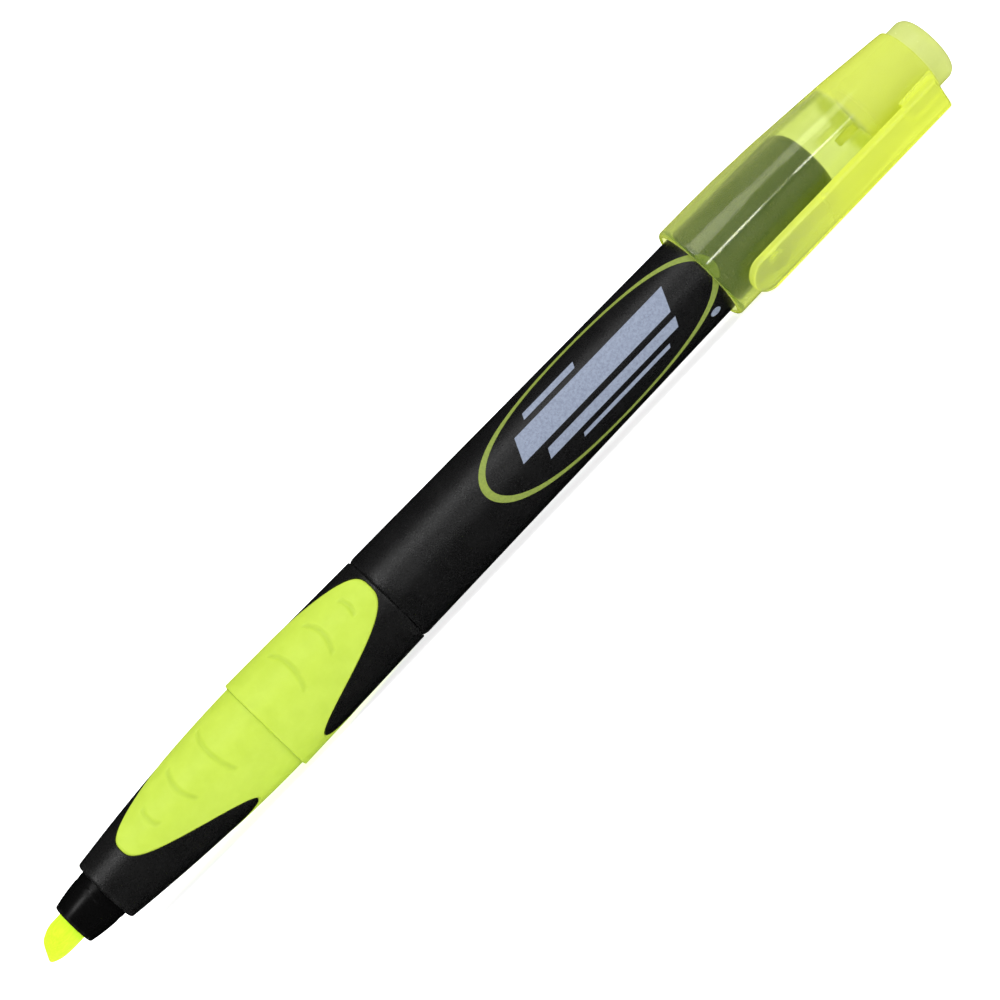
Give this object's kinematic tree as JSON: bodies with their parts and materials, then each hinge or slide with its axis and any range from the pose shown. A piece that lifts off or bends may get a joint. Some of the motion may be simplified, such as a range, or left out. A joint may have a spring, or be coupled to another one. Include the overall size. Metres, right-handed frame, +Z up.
{
  "type": "highlighter",
  "caption": "Chisel-tip highlighter with a soft two-tone grip, a black barrel and a translucent yellow clip cap posted on its rear end.",
  "frame": {"origin": "on the table, under the middle of the box round the lying pen", "axes": "+X along the pen from the nib towards the capped end, +Z up from the table, the clip low on the -Y side"},
  "size_m": [0.1496, 0.0154, 0.0135],
  "materials": {
    "nib_fibre": "inked bonded fibre",
    "nose_black": "gloss",
    "grip_black": "satin, fine grain",
    "grip_rubber": "soft matte",
    "barrel_black": "satin, fine grain",
    "ink_fibre": "inked fibre",
    "film_clear": "clear film",
    "cap_yellow": "translucent gloss",
    "liner_yellow": "translucent satin"
  },
  "bodies": {
    "pen": {"chisel_nib": "nib_fibre", "nose_cone": "nose_black", "grip_housing": "grip_black", "rubber_grip": "grip_rubber", "barrel_tube": "barrel_black", "ink_reservoir": "ink_fibre", "reservoir_film": "film_clear"},
    "cap": {"cap_shell": "cap_yellow", "inner_cap": "liner_yellow"},
    "clip": {"pocket_clip": "cap_yellow"}
  },
  "joints": [
    {"name": "cap_slide", "type": "slide", "parent": "pen", "child": "cap", "axis": [1, 0, 0], "range_m": [0, 0.03]},
    {"name": "clip_flex", "type": "hinge", "parent": "cap", "child": "clip", "pos_m": [0.07044, -0.0052, 0.00274], "axis": [0, -0.5495, 0.8355], "range_deg": [0, 5], "stiffness_Nm_per_rad": 2.5}
  ]
}
